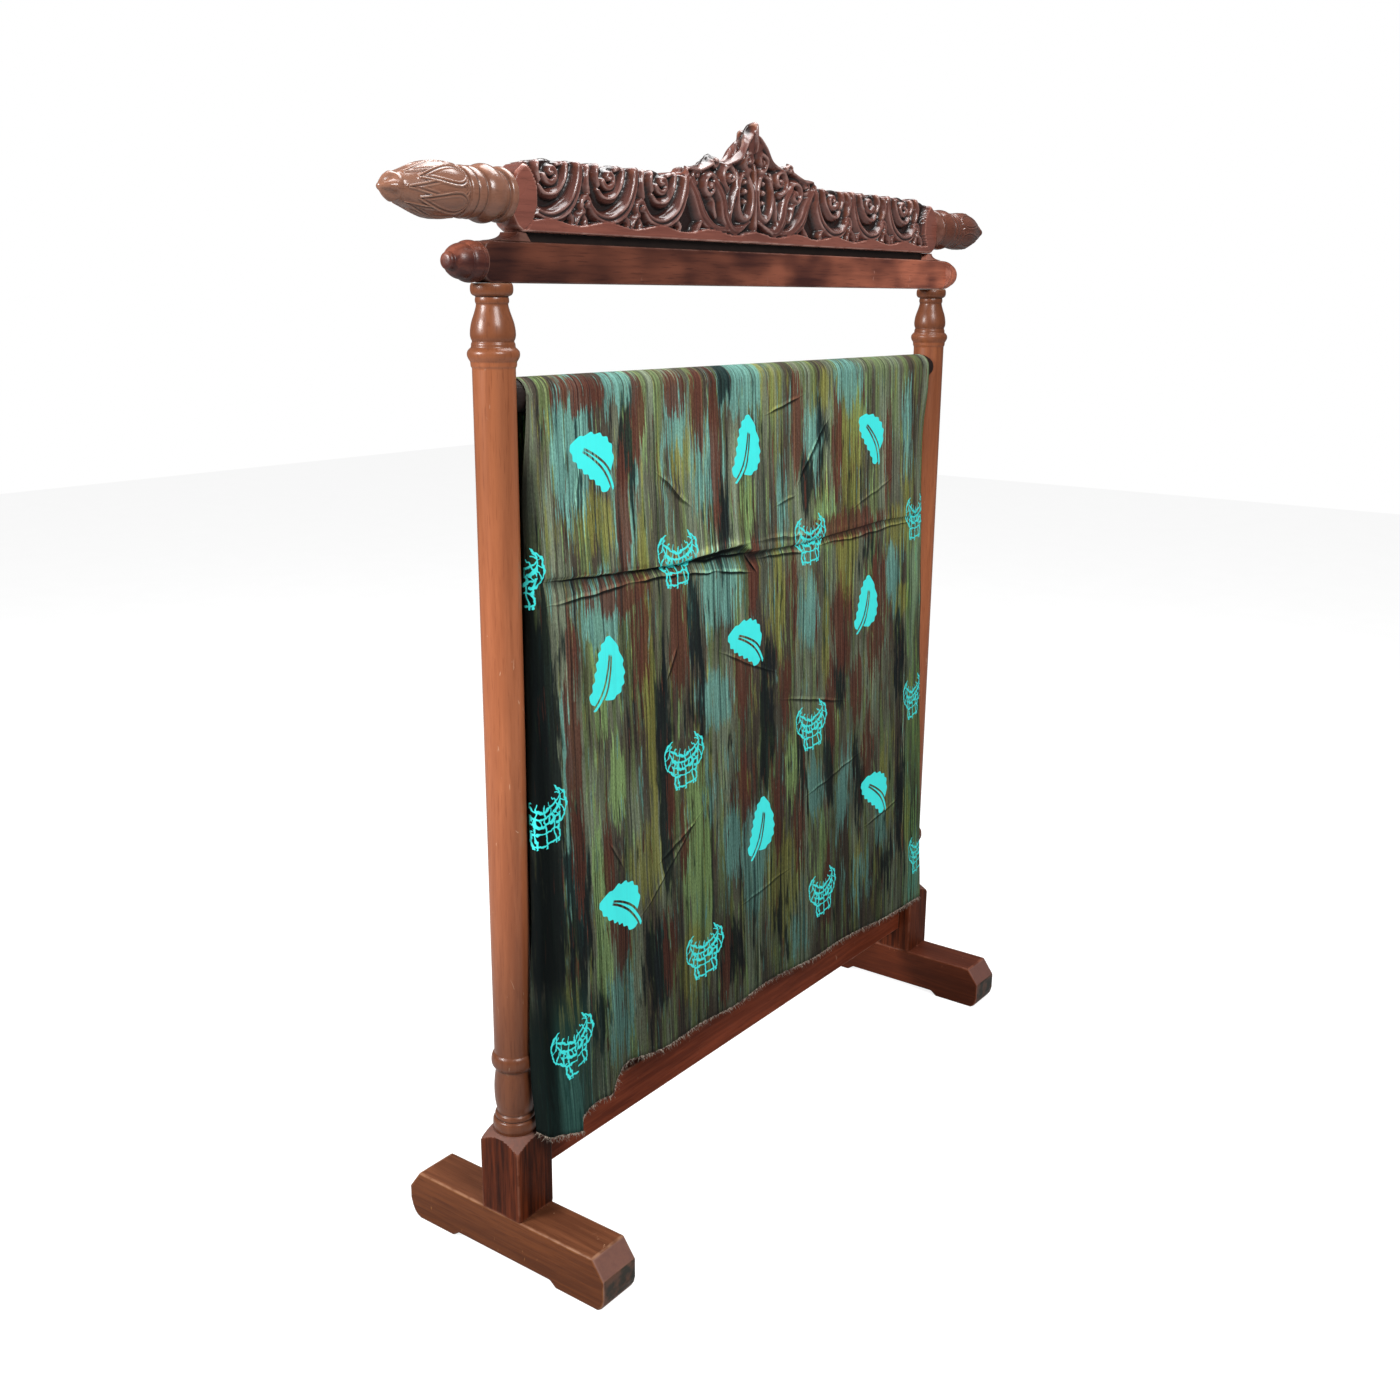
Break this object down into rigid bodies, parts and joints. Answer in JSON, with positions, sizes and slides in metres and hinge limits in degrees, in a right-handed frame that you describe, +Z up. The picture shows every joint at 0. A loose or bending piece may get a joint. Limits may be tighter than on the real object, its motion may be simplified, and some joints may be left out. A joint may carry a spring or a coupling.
{
  "type": "batik cloth draped on a carved wooden rack",
  "caption": "Stamped and drip-dyed batik cotton draped over the round rod of a free-standing wooden rack with turned posts, sledge feet, a head rail and a carved top beam.",
  "frame": {"origin": "on the floor, midway between the two feet, under the middle of the rack", "axes": "+Z up, +X along the rack to the right as seen from the front, -Y towards the viewer of the cloth's face"},
  "size_m": [1.5706, 0.406, 1.692],
  "materials": {
    "batik_cotton": "plain-woven dyed cotton, drip-dyed in brown, grey, teal, olive and dark blue-black, stamped in turquoise, slightly waxy",
    "post_wood": "turned hardwood, orange-brown stain, satin varnish",
    "foot_wood": "planed hardwood, red-brown stain, worn and scratched varnish",
    "rail_wood": "planed hardwood, dark blotchy stain, satin varnish",
    "carved_wood": "carved hardwood, purplish brown stain, glossy on the ridges"
  },
  "bodies": {
    "root": {"cloth": "batik_cotton", "cloth_rod": "post_wood", "post_left": "post_wood", "post_right": "post_wood", "foot_left": "foot_wood", "foot_right": "foot_wood", "stretcher": "foot_wood", "head_rail": "rail_wood", "rail_knob_left": "rail_wood", "rail_knob_right": "rail_wood", "spacer_left": "rail_wood", "spacer_right": "rail_wood", "filler_strip": "rail_wood", "carved_beam": "carved_wood", "bud_finial_left": "carved_wood", "bud_finial_right": "carved_wood"}
  },
  "joints": []
}
